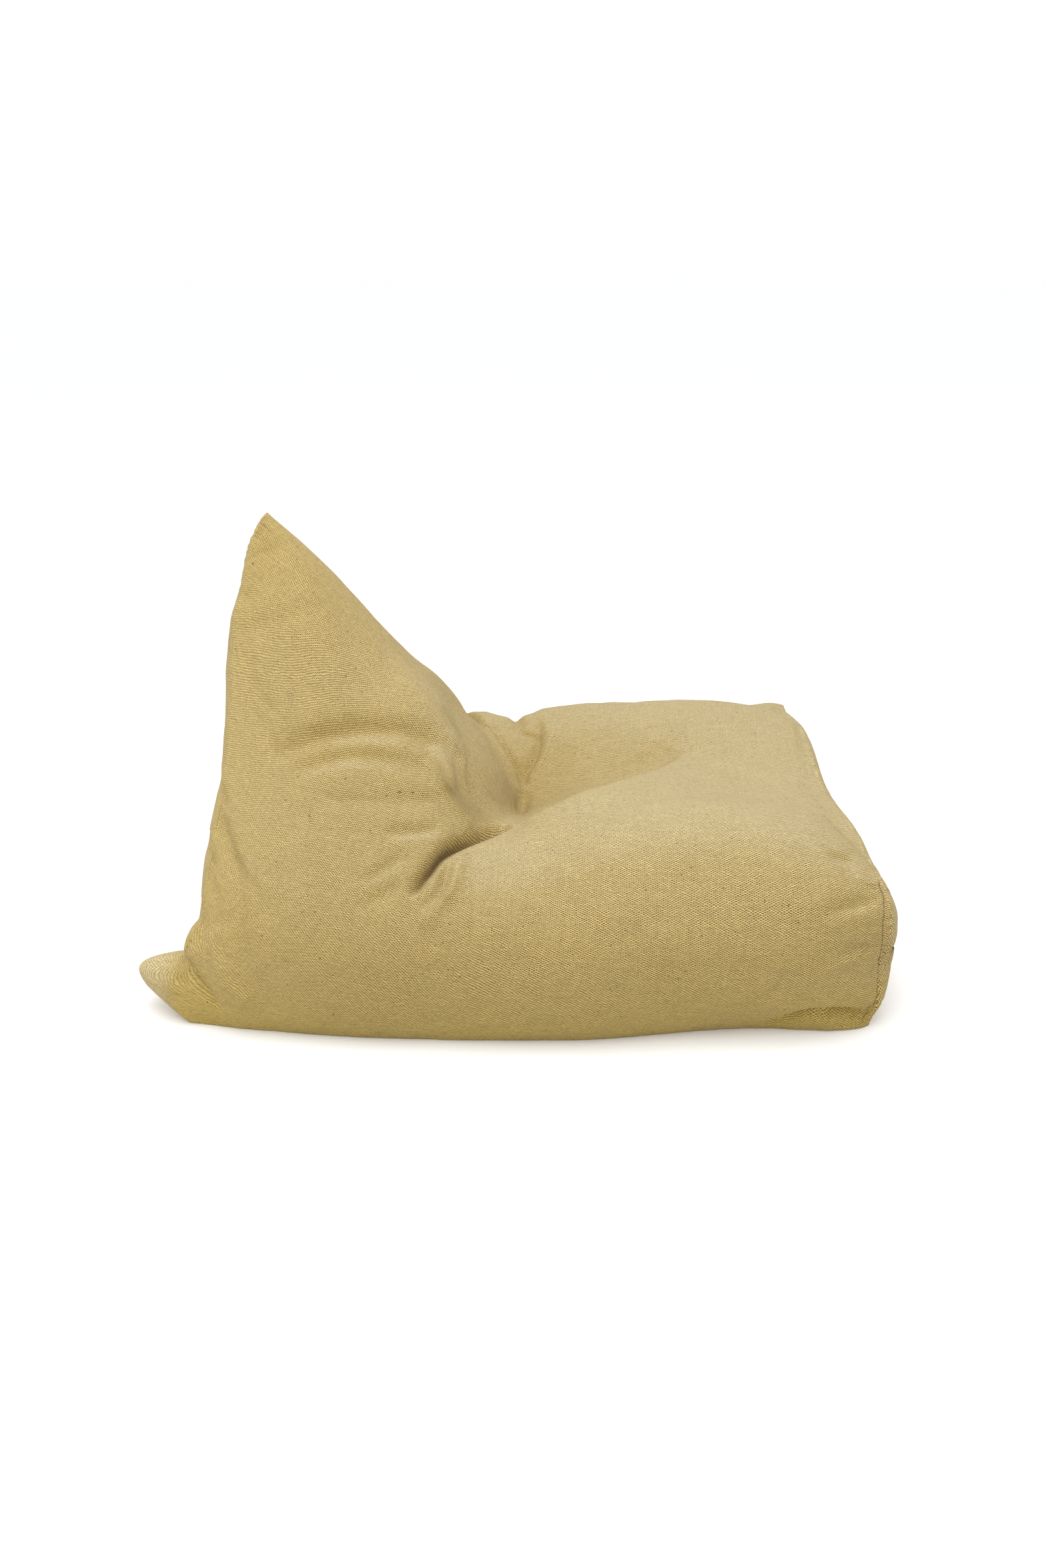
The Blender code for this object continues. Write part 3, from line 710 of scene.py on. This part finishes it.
def line_on(surface, row):
    """A row's line on the skin, with each traced pixel followed from the camera to
    where it meets the skin."""
    pixels_deep = CAMERA_LENS / CAMERA_SENSOR * PHOTO_HEIGHT
    points = []
    for spot in row["line"]:
        if len(spot) == 3:
            points.append(Vector(spot) + Vector(SACK_SHIFT))
            continue
        way = Vector((spot[0] - PHOTO_WIDTH / 2.0, PHOTO_HEIGHT / 2.0 - spot[1], -pixels_deep))
        way.rotate(camera.rotation_euler)
        points.append(surface.ray_cast(camera.location, way)[0])
    return np.array(points)


def near_line(places, normals, line, reach):
    """The vertices within reach of a line laid on the skin: which they are, how
    far to its left (+) or right (-), and how far along it from 0 to 1."""
    stations = np.linspace(0.0, len(line) - 1.0, FOLD_STEPS)
    line = spline(np.arange(len(line), dtype=float), line, stations)
    low = line.min(axis=0) - reach - LINE_MARGIN
    high = line.max(axis=0) + reach + LINE_MARGIN
    close = np.nonzero(((places > low) & (places < high)).all(axis=1))[0]
    spots = places[close]
    under = np.array([((spots - place) ** 2).sum(axis=1).argmin() for place in line])
    up = normals[close[under]]
    path = line - ((line - spots[under]) * up).sum(axis=1)[:, None] * up
    nearest = np.full(len(close), np.inf)
    signed = np.full(len(close), np.inf)
    share_along = np.zeros(len(close))
    for k in range(FOLD_STEPS - 1):
        step = path[k + 1] - path[k]
        length = max(step @ step, 1e-12)
        share = np.clip((spots - path[k]) @ step / length, 0.0, 1.0)
        offset = spots - path[k] - share[:, None] * step
        away = np.linalg.norm(offset, axis=1)
        away[normals[close] @ up[k] < LEAST_FACING] = np.inf
        closer = away < nearest
        left = np.where(offset @ np.cross(up[k], step) < 0.0, -1.0, 1.0)
        nearest[closer] = away[closer]
        signed[closer] = (left * away)[closer]
        share_along[closer] = (k + share[closer]) / (FOLD_STEPS - 1)
    return close, signed, share_along


def press_folds(mesh, folds, lines, depths, nooks):
    """Pushes the skin in along each fold's line and lifts its lips, and notes how
    deep each vertex lies in a narrow fold and in any fold."""
    places, normals = read(mesh)
    for fold, line in zip(folds, lines):
        reach = FOLD_REACH * max(fold["left"], fold["right"])
        close, signed, share = near_line(places, normals, line, reach)
        stretch = fold["start"] + (1.0 - fold["start"]) * share
        ends = np.sin(np.pi * stretch) ** FOLD_ENDS
        width = np.where(signed > 0.0, fold["left"], fold["right"])
        across = np.minimum(np.abs(signed) / width, 5.0) ** fold["edge"]
        push = fold["depth"] * ends * (1.0 - fold["lip"] * across) * np.exp(-across)
        places[close] -= normals[close] * push[:, None]
        # The depths feed the painted shade in the creases, the nooks the painted golden shade in
        # the fold hollows.
        depths[close] += push * np.minimum(1.0, NARROW_FOLD / width) ** 2
        within = np.exp(-(np.abs(signed) / (NOOK_WIDTH * width)) ** 2)
        nooks[close] += fold["depth"] * ends * within
    write(mesh, places)


def sew_seams(mesh, lines):
    """Draws the cloth in along each seam, with small puckers beside it, and gives
    each vertex its distance from the nearest seam and its place along it."""
    places, normals = read(mesh)
    seam = np.full((len(places), 3), 1.0)
    for line in lines:
        close, signed, share = near_line(places, normals, line, SEAM_REACH)
        run = share * along(line)[-1]
        across = np.minimum(np.abs(signed) / SEAM_WIDTH, 9.0)
        drift = PUCKER_DRIFT["by"] * np.sin(run * PUCKER_DRIFT["turn"])
        drift += PUCKER_DRIFT["across"] * np.sign(signed)
        pucker = PUCKER_DEPTH * PUCKER_SHARE * np.cos(2.0 * np.pi * run / PUCKER_PITCH + drift)
        push = SEAM_DEPTH * np.exp(-across ** 2)
        push += pucker * across ** 2 * np.exp(-across ** 2 / 8.0)
        places[close] -= normals[close] * push[:, None]
        nearer = np.abs(signed) < np.abs(seam[close, 0])
        seam[close[nearer], 0] = signed[nearer]
        seam[close[nearer], 1] = run[nearer]
    write(mesh, places)
    seam[:, 0] = np.clip(seam[:, 0], -0.05, 0.05)
    mesh.attributes.new("seam", "FLOAT_VECTOR", "POINT").data.foreach_set("vector", seam.ravel())


def ripple(mesh):
    """Gives the cloth its slight unevenness over the loose fill."""
    places, normals = read(mesh)
    lift = np.zeros(len(places))
    for row in RIPPLES:
        lift += row["height"] * np.array([noise.noise(Vector(p) * row["scale"]) for p in places])
    places += normals * lift[:, None]
    write(mesh, places)


def fill_with_beads(piece):
    """Lets the fill press the cloth out for a moment, and keeps how it settles."""
    mesh = piece.data
    before = read(mesh)[0]
    held = piece.vertex_groups.new(name="held")
    for i in np.nonzero(before[:, 2] < FLOOR_HELD)[0]:
        held.add([int(i)], 1.0, "ADD")
    cloth = piece.modifiers.new("fill", "CLOTH")
    for name, value in THICK_COTTON.items():
        setattr(cloth.settings, name, value)
    cloth.settings.use_pressure = True
    cloth.settings.uniform_pressure_force = FILL_PRESSURE
    cloth.settings.vertex_group_mass = "held"
    cloth.settings.effector_weights.gravity = 0.0
    cloth.collision_settings.use_collision = False
    cloth.collision_settings.use_self_collision = False
    cloth.point_cache.frame_start = 1
    cloth.point_cache.frame_end = FILL_FRAMES
    for frame_number in range(1, FILL_FRAMES + 1):
        bpy.context.scene.frame_set(frame_number)
    settled = piece.evaluated_get(bpy.context.evaluated_depsgraph_get()).data
    after = np.zeros(len(settled.vertices) * 3)
    settled.vertices.foreach_get("co", after)
    piece.modifiers.remove(cloth)
    piece.vertex_groups.remove(held)
    bpy.context.scene.frame_set(1)
    move = after.reshape(-1, 3) - before
    size = np.linalg.norm(move, axis=1)
    move *= np.minimum(1.0, FILL_CAP / np.maximum(size, 1e-9))[:, None]
    write(mesh, before + move)


sections = lengthwise(SECTIONS)
steps = steps_round(sections)
tube = [round_ring(points, steps) for points in sections]
rings = front_rings(tube[0], int(steps[:2].sum()))[::-1] + tube + back_rings(tube[-1])
skin = bmesh.new()
wrapped_cloth(skin, np.array(rings), END_STEPS["front"], int(steps[:3].sum()))
pull_ears(skin)
nudge(skin)
for side in (-1.0, 1.0):
    corner = (CORNER_EASED["x"], side * CORNER_EASED["y"], FRONT_SEAM_Z)
    ease(skin, corner, CORNER_EASED["reach"], CORNER_EASED["passes"])
for vert in skin.verts:
    vert.co += Vector(SACK_SHIFT)
surface = BVHTree.FromBMesh(skin)
folds = [dict(zip(FOLD_COLUMNS, row)) for row in FOLDS]
fold_lines = [line_on(surface, row) for row in folds]
seam_lines = [line_on(surface, row) for row in SEAMS]
data = bpy.data.meshes.new("sack_cloth")
skin.to_mesh(data)
skin.free()
sack = bpy.data.objects.new("sack_cloth", data)
bpy.context.scene.collection.objects.link(sack)
bpy.context.view_layer.objects.active = sack
fill_with_beads(sack)
finer = sack.modifiers.new("finer", "SUBSURF")
finer.levels = 1
finer.render_levels = 1
bpy.ops.object.modifier_apply(modifier=finer.name)
data = sack.data
data.shade_smooth()
depths = np.zeros(len(data.vertices))
nooks = np.zeros(len(data.vertices))
press_folds(data, folds, fold_lines, depths, nooks)
sew_seams(data, seam_lines)
ripple(data)
places, normals = read(data)
places[:, 2] = np.maximum(places[:, 2], 0.0)
write(data, places)
crease = data.attributes.new("crease", "FLOAT", "POINT")
crease.data.foreach_set("value", np.clip(depths / DEEP_CREASE, 0.0, 1.0))

# The cotton's weave. Warps about 3 mm apart and wefts half as far cross plainly, and
# the yarn is uneven and has a dark fleck here and there.
WARP_PITCH = 0.0031
WEFT_PITCH = 0.0016
SLOW_WANDER = {"scale": 38.0, "detail": 1.0}
QUICK_WANDER = {"scale": 130.0, "detail": 2.5}
WANDER = {"slow_warp": 1.6, "slow_weft": 1.4, "quick_warp": 1.3, "quick_weft": 1.9}
TONES = {
    "base": 0.39, "crossing": 0.35, "knuckle": 0.26,
    "weft": 0.44, "warp": 0.22, "looseness": 0.22, "patches": 0.08,
}
STITCH = {"half_pitch": 0.0028, "thin": 0.0003, "thick": 0.0007}
STITCH_OFF_SEAM = (0.0012, 0.0030)
SEAM_SHUT = (0.0004, 0.0015)
SPECKS = {"scale": 210.0, "from": 0.735, "to": 0.775, "share": 0.7}
WEAVE_FLATTER = {"from": -0.52, "to": -0.20, "least": 0.42}
YARN_EVENNESS = {"weft": 0.05, "warp": 0.02}
LOOSENESS = {"scale": 26.0, "detail": 3.0}
PATCHES = {"scale": 7.0, "detail": 4.0}
GAPS = {"from": 0.20, "to": -0.75, "tight": 0.60, "loose": 0.97}
# Painted shade deep in the creases: where it starts and ends, and how dark it goes at most.
PAINTED_CREASE_SHADE = {"from": 0.30, "to": 1.05, "share": 0.90}
SEAM_DARK = 0.50
BUMP_HEIGHT = 0.0010
BUMP_SHARES = {"crossing": 0.5, "yarns": 0.8}
# The cotton's colours. The pale one paints light on the cloth, the golden one paints shade in the
# fold hollows and near the floor, and the dark gap colour of the weave also paints shade deep in
# the creases.
COTTON = {
    "painted_lit": (0.620, 0.528, 0.312, 1.0),
    "deep": (0.480, 0.357, 0.130, 1.0),
    "golden": (0.505, 0.368, 0.072, 1.0),
    "gap": (0.130, 0.075, 0.022, 1.0),
    "fleck": (0.070, 0.035, 0.015, 1.0),
}

cotton = bpy.data.materials.new("mustard_cotton")
cotton.use_nodes = True
tree = cotton.node_tree


def put(kind, **settings):
    """Adds a node to the cotton's tree and sets what is given."""
    made = tree.nodes.new(kind)
    for name, value in settings.items():
        setattr(made, name, value)
    return made


def join(value, socket):
    """Sets a socket to a number or colour, or links another node's socket to it."""
    if isinstance(value, bpy.types.NodeSocket):
        tree.links.new(value, socket)
    elif value is not None:
        socket.default_value = value


def sums(operation, first, second=None, third=None):
    """One step of arithmetic on sockets or numbers."""
    made = put("ShaderNodeMath", operation=operation)
    for value, socket in zip((first, second, third), made.inputs):
        join(value, socket)
    return made.outputs[0]


def times(first, second):
    """Two sockets or numbers multiplied."""
    return sums("MULTIPLY", first, second)


def ramp(value, low, high, to_low=0.0, to_high=1.0):
    """Maps low..high of a value smoothly to to_low..to_high."""
    made = put("ShaderNodeMapRange", interpolation_type="SMOOTHSTEP")
    for given, socket in zip((value, low, high, to_low, to_high), made.inputs):
        join(given, socket)
    return made.outputs[0]


def blended(factor, first, second):
    """One colour going over to another."""
    made = put("ShaderNodeMix", data_type="RGBA")
    join(factor, made.inputs["Factor"])
    join(first, made.inputs["A"])
    join(second, made.inputs["B"])
    return made.outputs["Result"]


def cloudy(vector, scale, detail):
    """Soft noise between 0 and 1, and its colours."""
    made = put("ShaderNodeTexNoise")
    join(vector, made.inputs["Vector"])
    made.inputs["Scale"].default_value = scale
    made.inputs["Detail"].default_value = detail
    return made


def spot(x, y, z=0.0):
    """A point from three sockets or numbers."""
    made = put("ShaderNodeCombineXYZ")
    for value, socket in zip((x, y, z), made.inputs):
        join(value, socket)
    return made.outputs[0]


def scaled(colour, amount):
    """A colour made lighter or darker by an amount."""
    made = put("ShaderNodeVectorMath", operation="SCALE")
    join(colour, made.inputs[0])
    join(amount, made.inputs["Scale"])
    return made.outputs[0]


shader = tree.nodes["Principled BSDF"]
threads = put("ShaderNodeSeparateXYZ")
join(put("ShaderNodeUVMap", uv_map="threads").outputs[0], threads.inputs[0])
place = put("ShaderNodeTexCoord").outputs["Object"]
wander = put("ShaderNodeSeparateColor")
slow = cloudy(place, **SLOW_WANDER)
join(slow.outputs["Color"], wander.inputs[0])
quiver = put("ShaderNodeSeparateColor")
quick = cloudy(place, **QUICK_WANDER)
join(quick.outputs["Color"], quiver.inputs[0])
warp_wander = times(quiver.outputs[0], WANDER["quick_warp"])
warp_wander = sums("MULTIPLY_ADD", wander.outputs[0], WANDER["slow_warp"], warp_wander)
weft_wander = times(quiver.outputs[1], WANDER["quick_weft"])
weft_wander = sums("MULTIPLY_ADD", wander.outputs[1], WANDER["slow_weft"], weft_wander)
warp = sums("MULTIPLY_ADD", threads.outputs[0], 1.0 / WARP_PITCH, warp_wander)
weft = sums("MULTIPLY_ADD", threads.outputs[1], 1.0 / WEFT_PITCH, weft_wander)
crossing = times(sums("SINE", times(warp, math.pi)), sums("SINE", times(weft, math.pi)))
across = put("ShaderNodeSeparateXYZ")
join(place, across.inputs[0])
relief = ramp(
    across.outputs[0], WEAVE_FLATTER["from"], WEAVE_FLATTER["to"], WEAVE_FLATTER["least"],
)
crossing = times(crossing, relief)
weft_run = spot(times(warp, YARN_EVENNESS["weft"]), weft)
warp_run = spot(warp, times(weft, YARN_EVENNESS["warp"]), 7.0)
weft_yarn = cloudy(weft_run, 1.0, 1.0).outputs[0]
warp_yarn = cloudy(warp_run, 1.0, 1.0).outputs[0]
looseness = cloudy(place, **LOOSENESS).outputs[0]
patches = cloudy(place, **PATCHES).outputs[0]
knuckle = put("ShaderNodeTexWhiteNoise", noise_dimensions="2D")
join(spot(sums("FLOOR", warp), sums("FLOOR", weft)), knuckle.inputs["Vector"])
painted_paleness = put("ShaderNodeAttribute", attribute_name="painted_light").outputs["Fac"]
crease = put("ShaderNodeAttribute", attribute_name="crease").outputs["Fac"]

# Painted light and shade: the cotton goes over to its pale colour where the painted measure is
# above nought, and to golden where it is below.
straw = blended(painted_paleness, COTTON["deep"], COTTON["painted_lit"])
straw = blended(times(painted_paleness, -1.0), straw, COTTON["golden"])
yarns = times(warp_yarn, TONES["warp"])
yarns = sums("MULTIPLY_ADD", weft_yarn, TONES["weft"], yarns)
tone = sums("MULTIPLY_ADD", looseness, TONES["looseness"], yarns)
tone = sums("MULTIPLY_ADD", patches, TONES["patches"], tone)
tone = sums("MULTIPLY_ADD", knuckle.outputs["Value"], TONES["knuckle"], tone)
tone = sums("ADD", tone, TONES["base"])
toned = scaled(straw, sums("MULTIPLY_ADD", crossing, TONES["crossing"], tone))
gaps = ramp(looseness, 0.25, 0.70, GAPS["tight"], GAPS["loose"])
gaps = times(ramp(crossing, GAPS["from"], GAPS["to"]), gaps)
woven = blended(gaps, toned, COTTON["gap"])
# Painted shade: the cotton goes dark deep in the narrow creases.
dark = ramp(crease, PAINTED_CREASE_SHADE["from"], PAINTED_CREASE_SHADE["to"], 0.0, PAINTED_CREASE_SHADE["share"])
crease_shaded = blended(dark, woven, COTTON["gap"])
seam = put("ShaderNodeSeparateXYZ")
join(put("ShaderNodeAttribute", attribute_name="seam").outputs["Vector"], seam.inputs[0])
off_seam = sums("ABSOLUTE", seam.outputs[0])
closed = ramp(off_seam, SEAM_SHUT[1], SEAM_SHUT[0])
stitch = sums("PINGPONG", seam.outputs[1], STITCH["half_pitch"])
stitch = ramp(stitch, STITCH["thick"], STITCH["thin"])
stitch = times(stitch, ramp(off_seam, STITCH_OFF_SEAM[1], STITCH_OFF_SEAM[0]))
sewn = blended(times(closed, SEAM_DARK), crease_shaded, COTTON["gap"])
sewn = blended(times(stitch, SEAM_DARK), sewn, COTTON["fleck"])
specks = cloudy(place, SPECKS["scale"], 1.0).outputs[0]
specks = times(ramp(specks, SPECKS["from"], SPECKS["to"]), SPECKS["share"])
join(blended(specks, sewn, COTTON["fleck"]), shader.inputs["Base Color"])

height = times(yarns, BUMP_SHARES["yarns"])
height = sums("MULTIPLY_ADD", crossing, BUMP_SHARES["crossing"], height)
bump = put("ShaderNodeBump")
bump.inputs["Strength"].default_value = 1.0
bump.inputs["Distance"].default_value = BUMP_HEIGHT
join(height, bump.inputs["Height"])
join(bump.outputs[0], shader.inputs["Normal"])
shader.inputs["Roughness"].default_value = 0.95
shader.inputs["Specular IOR Level"].default_value = 0.15
shader.inputs["Sheen Weight"].default_value = 0.10
shader.inputs["Sheen Roughness"].default_value = 0.5
data.materials.append(cotton)

# Painted light and shade in the cotton's colour. It is paler where the cloth faces up and lies
# level, as painted light on its top, paler on the front's forward faces past its seams and in a
# spot on the back's front face, also as painted light, and paler behind the back. It is deeper and
# more golden in the fold hollows and near the floor, as painted shade. A row takes full effect
# where its measure has passed "from" by "run", and before that in part.
PAINTED_LIGHT_ROWS = {
    "facing up": {"by": 0.26, "from": 0.0, "run": 1.0},
    "lying level": {"by": 0.32, "from": 0.85, "run": 0.13},
    "above the sides": {"by": 1.0, "from": 0.13, "run": 0.10, "least": 0.25},
    "below the tip": {"by": 1.0, "from": 0.75, "run": -0.28, "least": 0.4},
    "behind the back": {"by": 0.75, "from": -0.50, "run": -0.04},
    "past the front seams": {"by": 0.30, "from": 0.53, "run": 0.03},
    "deep in the folds": {"by": -0.10, "from": 0.0, "run": 0.016},
    "near the floor": {"by": -0.60, "from": 0.11, "run": -0.11},
}
BACK_SPOT = {"at": (-0.110, -0.050, 0.350), "by": 0.20, "reach": 0.10}


def painted_light(name, measure):
    """How much painted light or shade one row of the table makes of a measure of each vertex."""
    row = PAINTED_LIGHT_ROWS[name]
    part = np.clip((measure - row["from"]) / row["run"], row.get("least", 0.0), 1.0)
    return row["by"] * part


places, normals = read(data)
paler = painted_light("facing up", normals[:, 2]) + painted_light("lying level", normals[:, 2])
paler *= painted_light("above the sides", places[:, 2])
paler *= painted_light("below the tip", places[:, 2])
paler += painted_light("behind the back", places[:, 0])
paler += painted_light("past the front seams", places[:, 0]) * np.clip(normals[:, 0], 0.0, 1.0)
paler += painted_light("deep in the folds", nooks)
paler += painted_light("near the floor", places[:, 2])
off_spot = ((places - np.array(BACK_SPOT["at"])) ** 2).sum(axis=1)
paler += BACK_SPOT["by"] * np.exp(-off_spot / BACK_SPOT["reach"] ** 2)
# The sum is kept on the mesh as the cotton's painted light and shade.
painted_light_layer = data.attributes.new("painted_light", "FLOAT", "POINT")
painted_light_layer.data.foreach_set("value", paler)

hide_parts("sack")
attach(sack, "root")

# The floor. A plain pale studio floor runs out level in every direction. To the camera
# it looks a little paler than by the light that it throws back on the sack.
FLOOR_RADIUS = 60.0
FLOOR_SIDES = 96
FLOOR_LIT = (0.80, 0.80, 0.80, 1.0)
FLOOR_SEEN = (0.975, 0.98, 0.99, 1.0)
FLOOR_GLOW = 0.055

ground = bmesh.new()
bmesh.ops.create_circle(ground, cap_ends=True, segments=FLOOR_SIDES, radius=FLOOR_RADIUS)
ground_data = bpy.data.meshes.new("floor")
ground.to_mesh(ground_data)
ground.free()
floor = bpy.data.objects.new("floor", ground_data)
bpy.context.scene.collection.objects.link(floor)
pale = bpy.data.materials.new("pale_floor")
pale.use_nodes = True
pale_nodes = pale.node_tree.nodes
pale_shader = pale_nodes["Principled BSDF"]
pale_shader.inputs["Roughness"].default_value = 0.9
pale_shader.inputs["Emission Color"].default_value = (1.0, 1.0, 1.0, 1.0)
seen = pale_nodes.new("ShaderNodeLightPath").outputs["Is Camera Ray"]
paint = pale_nodes.new("ShaderNodeMix")
paint.data_type = "RGBA"
paint.inputs["A"].default_value = FLOOR_LIT
paint.inputs["B"].default_value = FLOOR_SEEN
glow = pale_nodes.new("ShaderNodeMath")
glow.operation = "MULTIPLY"
glow.inputs[1].default_value = FLOOR_GLOW
pale.node_tree.links.new(seen, paint.inputs["Factor"])
pale.node_tree.links.new(paint.outputs["Result"], pale_shader.inputs["Base Color"])
pale.node_tree.links.new(seen, glow.inputs[0])
pale.node_tree.links.new(glow.outputs[0], pale_shader.inputs["Emission Strength"])
ground_data.materials.append(pale)

# The light. A white studio all round, and a broad soft lamp above and to the left.
WORLD_LIGHT = 0.96
WORLD_SEEN = 1.10
LAMP_PLACE = (-0.3, -0.5, 2.8)
LAMP_AIM = (0.0, 0.0, 0.2)
LAMP_WIDTH = 2.6
LAMP_POWER = 45.0

world = bpy.data.worlds.new("studio")
world.use_nodes = True
sky = world.node_tree.nodes["Background"]
sky.inputs["Color"].default_value = (1.0, 1.0, 1.0, 1.0)
looked_at = world.node_tree.nodes.new("ShaderNodeLightPath").outputs["Is Camera Ray"]
strength = world.node_tree.nodes.new("ShaderNodeMapRange")
strength.inputs["To Min"].default_value = WORLD_LIGHT
strength.inputs["To Max"].default_value = WORLD_SEEN
world.node_tree.links.new(looked_at, strength.inputs["Value"])
world.node_tree.links.new(strength.outputs[0], sky.inputs["Strength"])
bpy.context.scene.world = world
lamp_data = bpy.data.lights.new("soft_lamp", "AREA")
lamp_data.shape = "DISK"
lamp_data.size = LAMP_WIDTH
lamp_data.energy = LAMP_POWER
lamp = bpy.data.objects.new("soft_lamp", lamp_data)
lamp.location = LAMP_PLACE
beam = Vector(LAMP_AIM) - Vector(LAMP_PLACE)
lamp.rotation_euler = beam.to_track_quat("-Z", "Y").to_euler()
bpy.context.scene.collection.objects.link(lamp)
bpy.context.scene.view_settings.view_transform = "Standard"
